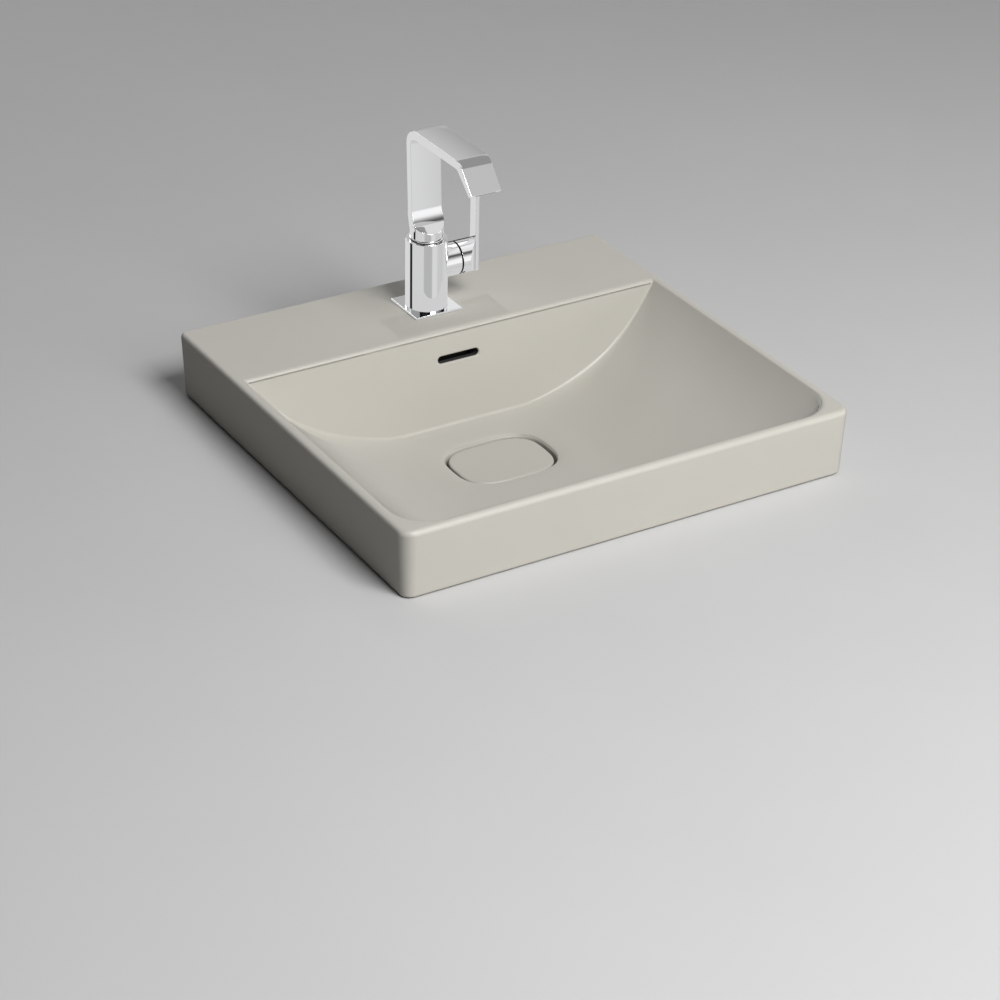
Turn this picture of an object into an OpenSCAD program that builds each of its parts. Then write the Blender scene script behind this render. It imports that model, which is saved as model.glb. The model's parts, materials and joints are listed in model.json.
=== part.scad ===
/* [Basin] */
// Width of the rim box
rim_w = 500; // [496:1:510]
// Depth of the rim box, front to back
rim_d = 468; // [464:1:474]
// Height of the rim above the counter
rim_h = 72.2; // [70:0.1:74]
// Radius of the rim's top outer edge
edge_r = 5.5; // [4:0.5:6]
// Plan radius of the two front corners
front_corner_r = 14; // [12:1:18]
// Plan radius of the two back corners
back_corner_r = 6.5; // [6.5:0.5:9]
// How far the outer walls draw in at the counter
draft = 2.7; // [1.5:0.1:3]
// Depth of the flat deck behind the bowl
deck_d = 126; // [124:1:128]
// Thickness of the deck where the tap stands
deck_t = 14.2; // [12:0.1:16]
// Plan radius of the opening's front corners
open_r = 41; // [36:1:46]
// Backward lean of the bowl's back wall, in mm for each mm of height
wall_lean = 0.164; // [0.14:0.002:0.18]
// Exponent of the bowl's curved side ramps
ramp_p = 2.85; // [2.7:0.05:3]

/* [Waste] */
// Level of the recess edge below the counter
recess_z = 35.5; // [34:0.5:36]
// Length of the recess, left to right
recess_l = 113; // [111:1:115]
// Width of the recess, front to back
recess_w = 84.5; // [83:0.5:86]
// Place of the waste, forward or back of the rim box's middle
waste_y = 11; // [9:1:13]
// Diameter of the waste hole in the ceramic
waste_hole_d = 46; // [45:0.5:47]
// Length of the waste cover
cover_l = 103.8; // [102:0.2:105]
// Width of the waste cover
cover_w = 77.6; // [76:0.2:79]
// Level of the waste tube's lower end below the counter
tail_z = 160; // [150:1:175]

/* [Tap] */
// Distance of the tap's axis from the rim's back edge
tap_back = 67.5; // [65:0.5:70]
// Diameter of the tap hole
tap_hole_d = 35; // [34:0.5:36]
// Side of the square base plate
plate_w = 54.5; // [52:0.5:58]
// Diameter of the tap body
body_d = 44; // [43:0.5:46]
// Height of the tap body's top above the counter
body_top = 149; // [148:0.5:152]
// Height of the spout arm's top above the counter
spout_top = 270.5; // [266:0.5:276]
// Thickness of the spout arm
arm_t = 9.5; // [9:0.1:10]
// Height of the lever's upper end above the counter
lever_top = 200; // [180:1:210]

/* [Hidden] */

$fn = 64;
clay = [0.72, 0.69, 0.63];
chrome = [0.82, 0.83, 0.84];
steel = [0.62, 0.63, 0.64];
brass = [0.78, 0.64, 0.36];
rubber = [0.16, 0.16, 0.17];
white_plastic = [0.86, 0.86, 0.84];
grey_plastic = [0.45, 0.46, 0.48];

// ---- basin levels and outlines ----
W = rim_w / 2;            // half width
D = rim_d / 2;            // half depth
H = rim_h;
seal_t = 1;               // thickness of the seal under the rim
zr = -recess_z;           // recess edge
ra = recess_l / 2;
rb2 = recess_w / 2;
hollow_z = H - deck_t;    // underside of the deck
ledge = 8;                // flat of the side rims, from the outline
s_side = 0.19;            // floor slope to the sides
s_back = 0.235;           // floor slope to the back wall
s_front = 0.05;           // floor slope to the front wall
x_floor = 80;             // where the side ramps start to curve up
foot_x = 89.5;            // half width of the floor at the walls' foot
side_r = 2.5;             // edge between the side rims and the ramps
deck_r = 5;               // edge between the deck and the back wall
lip_r = 6;                // inner half of the front lip
front_lean = 0.2366;      // lean of the front wall
shell_out = 8;            // the underside is the bowl's surface moved out
shell_down = 10;          // and down by these
nc = 8;                   // segments in each corner of a loop
ns = 4;                   // points on each straight side of a loop

function mix(a, b, t) = a + (b - a) * t;
function clamp01(t) = max(0, min(1, t));
function step3(t) = let (u = clamp01(t)) u * u * (3 - 2 * u);

// Side ramp: height over the distance from the middle
x_end = W - ledge - side_r * sin(55);
z_end = H - side_r * (1 - cos(55));
ramp_a = z_end - zr - s_side * (x_end - ra);
function ramp_z(x) = zr + s_side * (x - ra) + (x > x_floor ? ramp_a * pow((x - x_floor) / (x_end - x_floor), ramp_p) : 0);
ramp_turn = atan(s_side + ramp_p * ramp_a / (x_end - x_floor));

// A wall that leans k mm per mm of height through (y0, z0), rounded into a floor
// that rises from (yr, zr) at slope s. dir is 1 for the back wall, -1 for the front wall.
function wall_y(z, y0, z0, k, dir) = y0 - dir * k * (z0 - z);
function corner_z(y0, z0, k, yr, s, dir) = (dir * (yr - y0) + k * z0 - zr / s) / (k - 1 / s);
function foot_profile(z, y0, z0, k, yr, s, dir, r) =
  let (zc = corner_z(y0, z0, k, yr, s, dir), yc = wall_y(zc, y0, z0, k, dir),
    aw = atan(k), af = atan(s), turn = 90 - aw - af, tl = r * tan(turn / 2),
    wz = zc + tl * cos(aw), wy = yc + dir * tl * sin(aw),
    fz = zc - tl * sin(af),
    cy = wy - dir * r * cos(aw), cz = wz + r * sin(aw))
  z >= wz ? wall_y(z, y0, z0, k, dir)
    : z > fz ? cy + dir * sqrt(max(0, r * r - (z - cz) * (z - cz)))
    : yr + dir * (z - zr) / s;

back_turn = 90 - atan(wall_lean);
front_turn = 90 - atan(front_lean);
y_deck = D - deck_d;                         // where the deck's edge starts to round
yb0 = y_deck - deck_r * sin(back_turn);
zb0 = H - deck_r * (1 - cos(back_turn));
yf_lip = -D + edge_r + 0.4;
yf0 = yf_lip + lip_r * sin(front_turn);
function back_y(z) = foot_profile(z, yb0, zb0, wall_lean, waste_y + rb2, s_back, 1, 4);
function front_y(z) = foot_profile(z, yf0, H - lip_r * (1 - cos(front_turn)), front_lean, waste_y - rb2, s_front, -1, 30);
function back_r(z) = mix(2, 30, pow(clamp01((H - 4 - z) / (H + 24)), 2));
function front_r(z) = mix(open_r - 1, 2 * open_r, clamp01((H - 6 - z) / (H + 22)));

// Late weight: stays 0 for the first part d of a corner, then rises to 1
function late(w, d) = max(0, (w - d) / (1 - d));

// One closed loop round the basin: rounded corners and straight sides, with its own height
// at the sides (zs), at the back (zb) and at the front (zf)
function loop_rr(xh, yb, yf, rb, rf, zs, zb, zf, d = 0) = concat(
  [for (j = [0 : nc]) let (a = 90 * j / nc) [xh - rb + rb * cos(a), yb - rb + rb * sin(a), mix(zs, zb, late(j / nc, d))]],
  [for (m = [1 : ns]) let (t = m / (ns + 1)) [mix(xh - rb, rb - xh, t), yb, zb]],
  [for (j = [0 : nc]) let (a = 90 + 90 * j / nc) [rb - xh + rb * cos(a), yb - rb + rb * sin(a), mix(zs, zb, late(1 - j / nc, d))]],
  [for (m = [1 : ns]) let (t = m / (ns + 1)) [-xh, mix(yb - rb, yf + rf, t), zs]],
  [for (j = [0 : nc]) let (a = 180 + 90 * j / nc) [rf - xh + rf * cos(a), yf + rf + rf * sin(a), mix(zs, zf, j / nc)]],
  [for (m = [1 : ns]) let (t = m / (ns + 1)) [mix(rf - xh, xh - rf, t), yf, zf]],
  [for (j = [0 : nc]) let (a = 270 + 90 * j / nc) [xh - rf + rf * cos(a), yf + rf + rf * sin(a), mix(zf, zs, j / nc)]],
  [for (m = [1 : ns]) let (t = m / (ns + 1)) [xh, mix(yf + rf, yb - rb, t), zs]]);

// Superellipse loop with the same number and order of points
function se_pt(a, b, n, t) = [a * sign(cos(t)) * pow(abs(cos(t)), 2 / n), b * sign(sin(t)) * pow(abs(sin(t)), 2 / n)];
function se_angles() = [for (q = [0 : 3]) each concat(
  [for (j = [0 : nc]) 90 * q + 15 + 60 * j / nc],
  [for (m = [1 : ns]) 90 * q + 75 + 30 * m / (ns + 1)])];
function loop_se(a, b, n, z) = [for (t = se_angles()) let (p = se_pt(a, b, n, t)) [p[0], p[1] + waste_y, z]];
function loop_mix(p, q, w) = [for (i = [0 : len(p) - 1]) mix(p[i], q[i], w)];

// Bowl surface at the station x (half width), moved out by o and down by dn
function bowl_loop(x, o = 0, dn = 0) =
  let (z = ramp_z(x), w = step3((foot_x - x) / (foot_x - ra)), k = clamp01((foot_x - x) / (foot_x - ra)),
    rb = min(back_r(z), x - 1) + o, rf = min(mix(front_r(z), 40, k), x - 1) + o,
    a = loop_rr(x + o, back_y(z) + o, front_y(z) - o, rb, rf, z - dn, z - dn, z - dn))
  w == 0 ? a : loop_mix(a, loop_se(ra + o, rb2 + o, 3, z - dn), w);

// Underside of a side ramp where its front part is still the flat under the rim
function under_loop(x) =
  let (z = ramp_z(x), t = clamp01((x - 184) / 40),
    yfu = z - shell_down > seal_t ? mix(front_y(seal_t + shell_down) - shell_out, -D + 13, t) : front_y(z) - shell_out,
    rf = min(front_r(z), x - 1) + shell_out)
  z - shell_down > seal_t
    ? loop_rr(x + shell_out, back_y(z) + shell_out, yfu, back_r(z) + shell_out, rf, z - shell_down, z - shell_down, seal_t)
    : bowl_loop(x, shell_out, shell_down);

// Outer skin, inset by i
function skin_loop(i, z) = loop_rr(W - i, D - i, -D + i, max(0.6, back_corner_r - i), front_corner_r - i, z, z, z);
function edge_loop(t) =
  loop_rr(W - ledge - side_r * sin(ramp_turn * t), y_deck - deck_r * sin(back_turn * t), yf_lip + lip_r * sin(front_turn * t),
    3, open_r - 1.6 * t, H - side_r * (1 - cos(ramp_turn * t)), H - deck_r * (1 - cos(back_turn * t)), H - lip_r * (1 - cos(front_turn * t)));

under_x = [72, 80, 88, 97, 108, 124, 146, 172, 200, 221];
bowl_x = concat([for (d = [4, 7, 11, 15.5, 22, 29, 37, 45, 54]) x_end - d], [177, 168, 158, 149, 140, 132, 125, 118.5, 112, 106, 101, 97, 93, 89.5, 84, 77, 69, 62]);
boss_z = -76;
basin_loops = concat(
  [loop_se(38, 38, 2, boss_z), loop_se(39.5, 39.5, 2, boss_z + 8), loop_se(47, 43, 2.2, -64), loop_se(57, 45, 2.6, -62),
    loop_se(62.5, 48.5, 2.8, -58), loop_se(64.5, 50.5, 2.9, -50), loop_se(67, 53, 2.9, zr - 10.6)],
  [for (x = under_x) under_loop(x)],
  [loop_rr(W - 18, yb0 + 7.5, -D + 12.6, 12, 52, ramp_z(221) - shell_down + 4, hollow_z, seal_t, 0.5),
    loop_rr(W - 13.5, D - 14, -D + 12.3, 8, 40, ramp_z(221) - shell_down + 3, hollow_z, seal_t, 0.5),
    loop_rr(W - 12, D - 12, -D + 12, 8, 34, seal_t, seal_t, seal_t)],
  [skin_loop(draft + 2.5, seal_t), skin_loop(draft + 1.2, seal_t + 0.4), skin_loop(draft + 0.35, seal_t + 1.3), skin_loop(draft, seal_t + 2.8)],
  [for (k = [0 : 6]) skin_loop(edge_r * (1 - cos(15 * k)), H - edge_r + edge_r * sin(15 * k))],
  [for (k = [0 : 4]) edge_loop(k / 4)],
  [for (x = bowl_x) bowl_loop(x)],
  [loop_se(ra + 0.7, rb2 + 0.7, 3, zr + 0.05), loop_se(ra - 0.2, rb2 - 0.2, 3, zr - 0.35), loop_se(ra - 0.9, rb2 - 0.9, 3, zr - 1.5),
    loop_se(ra - 2.2, rb2 - 2.2, 3, -48.5), loop_se(ra - 3.2, rb2 - 3.2, 3, -51), loop_se(ra - 6, rb2 - 6, 2.9, -52)]);

// Closed skin through loops of equal length, with a flat cap at each end
module loft(loops) {
  n = len(loops[0]);
  m = len(loops);
  polyhedron(
    points = [for (l = loops) each l],
    faces = concat(
      [[for (i = [0 : n - 1]) i]],
      [for (k = [0 : m - 2], i = [0 : n - 1]) each [
        [k * n + i, (k + 1) * n + i, (k + 1) * n + (i + 1) % n],
        [k * n + i, (k + 1) * n + (i + 1) % n, k * n + (i + 1) % n]]],
      [[for (i = [n - 1 : -1 : 0]) (m - 1) * n + i]]),
    convexity = 8);
}

// Flat outline with its own back and front corner radii
module outline(xh, yb, yf, rb, rf) {
  r = max(rb, rf);
  translate([-(xh - r), yf]) square([2 * (xh - r), yb - yf]);
  translate([-xh, yf + rf]) square([2 * xh, yb - yf - rf - rb]);
  translate([-(xh - rb), yb - r]) square([2 * (xh - rb), r]);
  translate([-(xh - rf), yf]) square([2 * (xh - rf), r]);
  for (s = [-1, 1]) {
    translate([s * (xh - rb), yb - rb]) circle(r = rb);
    translate([s * (xh - rf), yf + rf]) circle(r = rf);
  }
}

module tube(ro, ri, z0, z1) {
  translate([0, 0, z0]) difference() {
    cylinder(r = ro, h = z1 - z0);
    translate([0, 0, -1]) cylinder(r = ri, h = z1 - z0 + 2);
  }
}

ty = D - tap_back;                           // tap axis
slot_z = 42.6;                               // overflow slot
slot_l = 48;
slot_h = 8;

module basin() {
  color(clay) difference() {
    union() {
      loft(basin_loops);
      // overflow housing behind the back wall, and its foot to the waste
      side_extrude([[back_y(hollow_z) + 4, hollow_z + 2], [125, hollow_z + 2], [125, -76], [86, -76], [86, -38],
        [back_y(-18) + 4, -18], [back_y(0) + 4, 0]], 62);
      translate([-21, 40, -76]) cube([42, 70, 20]);
    }
    // waste hole and the seat of the waste flange
    translate([0, waste_y, boss_z - 5]) cylinder(d = waste_hole_d, h = 40);
    translate([0, waste_y, -56]) cylinder(r = 34, h = 10);
    // tap hole
    translate([0, ty, hollow_z - 5]) cylinder(d = tap_hole_d, h = deck_t + 10);
    // overflow slot through the back wall
    translate([0, 112, slot_z]) rotate([90, 0, 0]) linear_extrude(26) {
      square([slot_l - slot_h, slot_h], center = true);
      for (s = [-1, 1]) translate([s * (slot_l - slot_h) / 2, 0]) circle(d = slot_h);
    }
    // duct down to the waste hole
    translate([-25, 108, -70]) cube([50, 11, 118]);
    translate([-14, waste_y + 10, -70]) cube([28, 105, 9]);
  }
}

module rim_seal() {
  color(rubber) linear_extrude(seal_t) difference() {
    outline(W - draft - 3, D - draft - 3, -D + draft + 3, 5, front_corner_r - 6);
    outline(W - 11.5, D - 11.5, -D + 11.6, 8, 34);
  }
}

// ---- waste ----
wr = 20.955;                                 // G1 1/4 outside radius
flange_top = -52;
lift = 8;

module at_waste() { translate([0, waste_y, 0]) children(); }

module waste_body() {
  color(chrome) at_waste() difference() {
    rotate_extrude() polygon([[17.5, -tail_z + 1], [18.2, -tail_z], [wr - 0.8, -tail_z], [wr, -tail_z + 0.8],
      [wr, -tail_z + 35], [19.6, -tail_z + 35.6], [19.6, -tail_z + 38], [wr, -tail_z + 38.6], [wr, -54.8],
      [31, -54.8], [32, -54.2], [32, -53], [31, flange_top], [21.5, flange_top], [18.5, -54.5], [18.5, -85], [17.5, -85]]);
    // overflow ports
    translate([-10, -30, -71]) cube([20, 60, 10]);
  }
}

module flange_seal() { color(rubber) at_waste() tube(31, 21.3, -56, -54.8); }
module under_seal() { color(rubber) at_waste() tube(33, 21.1, -80, boss_z); }
module slip_washer() { color(white_plastic) at_waste() tube(34, 21.1, -81.5, -80); }

module back_nut() {
  color(chrome) at_waste() difference() {
    union() {
      translate([0, 0, -84]) cylinder(r = 33, h = 2.5);
      translate([0, 0, -96]) cylinder(r = 31, h = 12.5, $fn = 6);
    }
    translate([0, 0, -97]) cylinder(r = 21, h = 20);
  }
}

module plunger_guide() {
  color(white_plastic) at_waste() {
    tube(18.4, 16.4, -85, -75);
    tube(8.5, 6.6, -85, -74);
    for (a = [0, 120, 240]) rotate([0, 0, a + 90]) translate([8, -1.1, -84]) cube([9, 2.2, 8]);
  }
}

module click_sleeve() {
  color(grey_plastic) at_waste() {
    tube(6.5, 4.15, -86, -74);
    tube(8.3, 4.15, -74, -72.5);
  }
}

module plunger() {
  color(steel) at_waste() {
    translate([0, 0, -97]) cylinder(r = 4.07, h = 46.4);
    translate([0, 0, -100]) cylinder(r = 5.4, h = 3.4);
  }
}

// Compression spring: a round wire swept along a helix with closed ends
spring_r = 5.5;
wire_r = 0.55;
spring_z0 = -72.5;
spring_z1 = -57.5;
spring_n = 74;
spring_turns = 6;
function spring_rise(t) = t < 0.16 ? 0.35 * t : t > 0.84 ? 1 - 0.35 * (1 - t) : mix(0.056, 0.944, (t - 0.16) / 0.68);
function spring_at(i) = let (t = i / spring_n, a = 360 * spring_turns * t)
  [spring_r * cos(a), waste_y + spring_r * sin(a), mix(spring_z0 + wire_r, spring_z1 - wire_r, spring_rise(t)), a];
module plunger_spring() {
  color(steel) loft([for (i = [0 : spring_n]) let (c = spring_at(i))
    [for (k = [0 : 7]) let (b = 45 * k) [c[0] + wire_r * cos(b) * cos(c[3]), c[1] + wire_r * cos(b) * sin(c[3]), c[2] + wire_r * sin(b)]]]);
}

module plug_disc() {
  color(steel) at_waste() difference() {
    rotate_extrude() polygon([[0, -57.5], [17, -57.5], [17.9, -56.6], [17.9, -50.5], [22.5, -50.5], [22.5, -49.4], [21.8, -48.7], [0, -48.7]]);
    translate([0, 0, -58]) cylinder(r = 4.07, h = 7.45);
    // waist that the seal sits in
    difference() {
      translate([0, 0, -51.9]) cylinder(r = 19, h = 1.4);
      translate([0, 0, -53]) cylinder(r = 17, h = 4);
    }
  }
}

module plug_seal() { color(rubber) at_waste() tube(22.8, 17, -51.7, -50.5); }

module cover_carrier() {
  color(steel) at_waste() {
    translate([0, 0, -48.7]) cylinder(r = 9, h = 4.3);
    translate([0, 0, -44.4]) linear_extrude(1.1) {
      circle(r = 13);
      for (s = [-1, 1]) {
        translate([s * 19, 0]) square([38, 9], center = true);
        translate([0, s * 13]) square([9, 26], center = true);
        translate([s * 38, 0]) circle(r = 6);
        translate([0, s * 26]) circle(r = 6);
      }
    }
  }
}

module cover_pads() {
  color(rubber) at_waste() for (s = [-1, 1]) {
    translate([s * 38, 0, -43.3]) cylinder(r = 5.2, h = 0.8);
    translate([0, s * 26, -43.3]) cylinder(r = 5.2, h = 0.8);
  }
}

ca = cover_l / 2;
cb = cover_w / 2;
module waste_cover() {
  color(clay) loft(concat(
    [loop_se(ca - 3.4, cb - 3.4, 3.2, -42.5), loop_se(ca - 1.6, cb - 1.6, 3.2, -42.1), loop_se(ca - 0.5, cb - 0.5, 3.2, -41), loop_se(ca, cb, 3.2, -38.9)],
    [for (a = [20, 40, 60, 78]) loop_se(ca - 2.6 * (1 - cos(a)), cb - 2.6 * (1 - cos(a)), 3.2, -38.9 + 2.6 * sin(a))],
    [for (f = [0.86, 0.7, 0.5, 0.28, 0.08]) loop_se(ca * f, cb * f, 3.2, -36.02 - 0.32 * f * f)]));
}

// ---- tap ----
gasket_t = 0.4;
plate_z0 = H + gasket_t;
plate_z1 = plate_z0 + 2;
plate_y = ty - 0.7;
br = body_d / 2;
axis_z = 118.2;                              // handle axis
barrel_r = 17.5;
barrel_end = 33;
seam = 1.6;
bar_x = 54.8;                                // where the cap ends and the lever bar begins
socket_z = 134;                              // floor of the spout's socket
screw_z = body_top - 6.4;                    // the spout's retaining screw
inlet_x = 7.5;
inlet_y = -4.5;
stud_y = 9.5;

module at_tap() { translate([0, ty, 0]) children(); }
// Along +X from x0, on the handle's axis
module at_handle(x0) { translate([x0, ty, axis_z]) rotate([0, 90, 0]) children(); }

module base_gasket() {
  color(rubber) difference() {
    translate([-plate_w / 2 + 1, plate_y - plate_w / 2 + 1, H]) cube([plate_w - 2, plate_w - 2, gasket_t]);
    at_tap() translate([0, 0, H - 1]) cylinder(r = 16.3, h = 3);
  }
}

module base_plate() {
  color(chrome) difference() {
    translate([-plate_w / 2, plate_y - plate_w / 2, plate_z0]) cube([plate_w, plate_w, plate_z1 - plate_z0]);
    at_tap() translate([0, 0, H - 1]) cylinder(r = 16.3, h = 6);
  }
}

module tap_body() {
  color(chrome) difference() {
    union() {
      at_tap() translate([0, 0, plate_z1]) cylinder(r = br, h = body_top - plate_z1);
      at_tap() translate([0, 0, 60]) cylinder(r = 16, h = plate_z1 - 59);
      at_handle(0) cylinder(r = barrel_r, h = barrel_end);
    }
    // socket of the spout, and the way up to it
    at_tap() translate([0, 0, socket_z]) cylinder(r = 13.2, h = 20);
    at_tap() translate([0, 0, 118]) cylinder(r = 5.5, h = 20);
    // cartridge chamber along the barrel
    at_handle(-10) cylinder(r = 14.2, h = 60);
    // two threaded inlets that face down, with the ways up to the cartridge
    for (s = [-1, 1]) at_tap() translate([s * inlet_x, inlet_y, 0]) {
      translate([0, 0, 59]) cylinder(r = 5.1, h = 13);
      translate([0, 0, 70]) cylinder(r = 3, h = 40);
    }
    // hole of the fixing stud
    at_tap() translate([0, stud_y, 59]) cylinder(r = 4, h = 17);
    // hole of the spout's retaining screw, at the back
    at_tap() translate([0, 11, screw_z]) rotate([-90, 0, 0]) cylinder(r = 2.04, h = 20);
  }
}

module spout_bush() {
  color(white_plastic) at_tap() {
    tube(17, 12.1, body_top, body_top + 0.7);
    tube(13.15, 12.1, body_top - 3, body_top);
  }
}

foot_z = body_top + 1;
spout_r = 17.5;
// The spout is a flat band: a leg that leans back a little, a round bend, the arm, a second bend and the nozzle
arm_in = spout_top - arm_t;
bend_r = 18;
bend_a = 53.5;
bend_y = 80 - 166.5;
mid_z = spout_top - bend_r;
back_y0 = -6.1;                              // centre of the bend between leg and arm
leg_t = 9;
leg_lean = 0.047;
function leg_back(z) = back_y0 + bend_r - leg_lean * (mid_z - z);
scoop_z = foot_z + 33;
scoop_y = leg_back(scoop_z) - leg_t;         // the flat face where the scoop begins
// Side outline of the leg in y and z: round foot, scooped front and back, flat leaning faces
leg_pts = concat(
  [[-20, foot_z], [20, foot_z], [20, foot_z + 15], [15, foot_z + 18], [11.2, foot_z + 22], [leg_back(foot_z + 27) + 0.6, foot_z + 27],
   [leg_back(foot_z + 34), foot_z + 34], [leg_back(mid_z), mid_z], [leg_back(mid_z) - leg_t, mid_z]],
  [for (a = [0 : 6 : 42]) [scoop_y - 26.4 + 26.4 * cos(a), scoop_z - 26.4 * sin(a)]],
  [[scoop_y - 8.4, foot_z + 14.1], [-20, foot_z + 7.6]]);
// Side outline of the arm with its bends and its nozzle
arm_pts = concat(
  [for (a = [0 : 7.5 : 90]) [back_y0 + bend_r * cos(a), mid_z + bend_r * sin(a)]],
  [for (a = [0 : 5.944 : 53.5]) [bend_y - bend_r * sin(a), spout_top - bend_r * (1 - cos(a))]],
  [[48.2 - 166.5, spout_top - 27.2], [48.2 - 166.5 + 4.9, spout_top - 30.7]],
  [for (a = [53.5 : -5.944 : 0]) [bend_y - (bend_r - arm_t) * sin(a) , spout_top - bend_r + (bend_r - arm_t) * cos(a)]],
  [for (a = [90 : -15 : 0]) [back_y0 + (bend_r - leg_t) * cos(a), mid_z + (bend_r - mix(leg_t, arm_t, a / 90)) * sin(a)]],
  [[leg_back(mid_z - 4) - leg_t, mid_z - 4], [leg_back(mid_z - 4), mid_z - 4]]);

// Side outline of the waterway: up the leg, round both bends and out through the end face
end_mid = [48.2 - 166.5 + 2.45, spout_top - 28.95];
end_e = [0.814, -0.581];                     // along the end face
end_d = [-0.7, -0.714];                      // the way the water leaves
way_pts = concat(
  [[4.2, foot_z], [leg_back(foot_z + 22) - 3.1, foot_z + 22]],
  [for (a = [0 : 15 : 90]) [back_y0 + 14.9 * cos(a), mid_z + 14.9 * sin(a)]],
  [for (a = [0 : 5.944 : 53.5]) [bend_y - 14.9 * sin(a), mid_z + 14.9 * cos(a)]],
  [end_mid - 1.5 * end_e + end_d, end_mid + 1.5 * end_e + end_d],
  [for (a = [53.5 : -5.944 : 0]) [bend_y - 11.9 * sin(a), mid_z + 11.9 * cos(a)]],
  [for (a = [90 : -15 : 0]) [back_y0 + 11.9 * cos(a), mid_z + 11.9 * sin(a)]],
  [[leg_back(foot_z + 22) - 6.1, foot_z + 22], [1.2, foot_z]]);

// Extrudes a y-z outline across the spout's width
module side_extrude(pts, w) {
  rotate([90, 0, 90]) translate([0, 0, -w / 2]) linear_extrude(w) polygon(pts);
}

module spout() {
  color(chrome) at_tap() difference() {
    union() {
      // the leg keeps within its foot's circle low down, and within the arm's width higher up
      intersection() {
        side_extrude(leg_pts, 2 * spout_r);
        union() {
          cylinder(r = spout_r, h = foot_z + 10);
          translate([0, 0, foot_z + 9]) cylinder(r1 = spout_r, r2 = spout_r + 18, h = 150);
        }
      }
      side_extrude(arm_pts, 2 * spout_r);
      // spigot in the body
      translate([0, 0, socket_z + 0.6]) cylinder(r = 12, h = foot_z - socket_z);
    }
    // grooves of the two seals and of the retaining screw
    for (g = [[socket_z + 1.1, 1.8], [socket_z + 3.5, 1.8], [screw_z - 2.4, 4.8]]) translate([0, 0, g[0]]) difference() {
      cylinder(r = 14, h = g[1]);
      translate([0, 0, -1]) cylinder(r = 10.4, h = g[1] + 2);
    }
    // waterway: up the spigot, then along the band to the slot
    translate([0, 0, socket_z]) cylinder(r = 6, h = foot_z + 6 - socket_z);
    side_extrude(way_pts, 22);
  }
}

module spout_o_rings() {
  color(rubber) at_tap() for (z = [socket_z + 2, socket_z + 4.4]) translate([0, 0, z]) rotate_extrude() translate([11.5, 0]) circle(r = 0.88, $fn = 24);
}

module spout_screw() {
  color(steel) at_tap() translate([0, 11.3, screw_z]) rotate([-90, 0, 0]) difference() {
    cylinder(r = 2, h = 9.2);
    translate([0, 0, 7.2]) cylinder(r = 1.2, h = 3, $fn = 6);
  }
}

// Frame of the water slit, let into the spout's end face
function end_band(t, a, b) = [end_mid - t * end_e + a * end_d, end_mid + t * end_e + a * end_d, end_mid + t * end_e + b * end_d, end_mid - t * end_e + b * end_d];
module outlet_insert() {
  color(grey_plastic) at_tap() difference() {
    side_extrude(end_band(1.45, 0, -4), 21.9);
    side_extrude(end_band(0.6, 1, -5), 18.5);
  }
}

module cartridge() {
  color(white_plastic) difference() {
    union() {
      at_handle(-9.9) cylinder(r = 14.1, h = 30);
      at_handle(20) cylinder(r = 10.5, h = 6);
    }
    at_handle(12) cylinder(r = 5.1, h = 20);
  }
}

module cartridge_nut() {
  color(brass) difference() {
    at_handle(20.2) cylinder(r = 14.15, h = 8.5);
    at_handle(19) cylinder(r = 10.6, h = 12);
  }
}

module spindle() {
  color(brass) {
    at_handle(12.3) cylinder(r = 5.02, h = 15);
    at_handle(27) cylinder(r = 4, h = 23);
  }
}

module handle_cap() {
  color(chrome) difference() {
    intersection() {
      at_handle(barrel_end + seam) cylinder(r = barrel_r, h = bar_x - barrel_end - seam);
      translate([0, ty, axis_z - 20]) linear_extrude(40)
        polygon([[33, -18], [bar_x - 12, -18], [bar_x, -6], [bar_x, 6], [bar_x - 12, 18], [33, 18]]);
    }
    at_handle(30) cylinder(r = 4.02, h = 20.2);
    at_handle(30) cylinder(r = 6, h = 8.5);
    // hole of the small screw, low at the front
    translate([37.1, ty, axis_z]) rotate([134, 0, 0]) cylinder(r = 1.6, h = 20);
  }
}

module lever_bar() {
  color(chrome) translate([bar_x, ty - 6, axis_z - barrel_r]) cube([4, 12, lever_top - axis_z + barrel_r]);
}

module handle_screw() {
  color(steel) translate([37.1, ty, axis_z]) rotate([134, 0, 0]) difference() {
    translate([0, 0, 4.1]) cylinder(r = 1.55, h = 10.5);
    translate([0, 0, 12.6]) cylinder(r = 0.9, h = 3, $fn = 6);
  }
}

module fixing_stud() {
  color(steel) at_tap() translate([0, stud_y, 20]) cylinder(r = 3.95, h = 55.5);
}

module horseshoe(r, t, w, z) {
  at_tap() translate([0, 0, z]) linear_extrude(t) difference() {
    circle(r = r);
    translate([-w / 2, -r - 1]) square([w, r + 3.2]);
    translate([0, stud_y]) circle(r = 4.3);
  }
}

module horseshoe_gasket() { color(rubber) horseshoe(27, 3, 27, hollow_z - 3); }
module horseshoe_plate() { color(steel) horseshoe(26, 3, 27.5, hollow_z - 6); }

module fixing_nut() {
  color(brass) at_tap() translate([0, stud_y, hollow_z - 24]) difference() {
    union() {
      cylinder(r = 6.9, h = 14, $fn = 6);
      translate([0, 0, 14]) cylinder(r = 6.4, h = 4);
    }
    translate([0, 0, -1]) cylinder(r = 3.97, h = 20);
  }
}

basin();
rim_seal();
waste_body();
flange_seal();
under_seal();
slip_washer();
back_nut();
plunger_guide();
click_sleeve();
plunger();
plunger_spring();
plug_disc();
plug_seal();
cover_carrier();
cover_pads();
waste_cover();
base_plate();
base_gasket();
tap_body();
spout();
spout_bush();
spout_o_rings();
spout_screw();
outlet_insert();
cartridge();
cartridge_nut();
spindle();
handle_cap();
lever_bar();
handle_screw();
fixing_stud();
horseshoe_gasket();
horseshoe_plate();
fixing_nut();
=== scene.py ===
import json
import math

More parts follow.
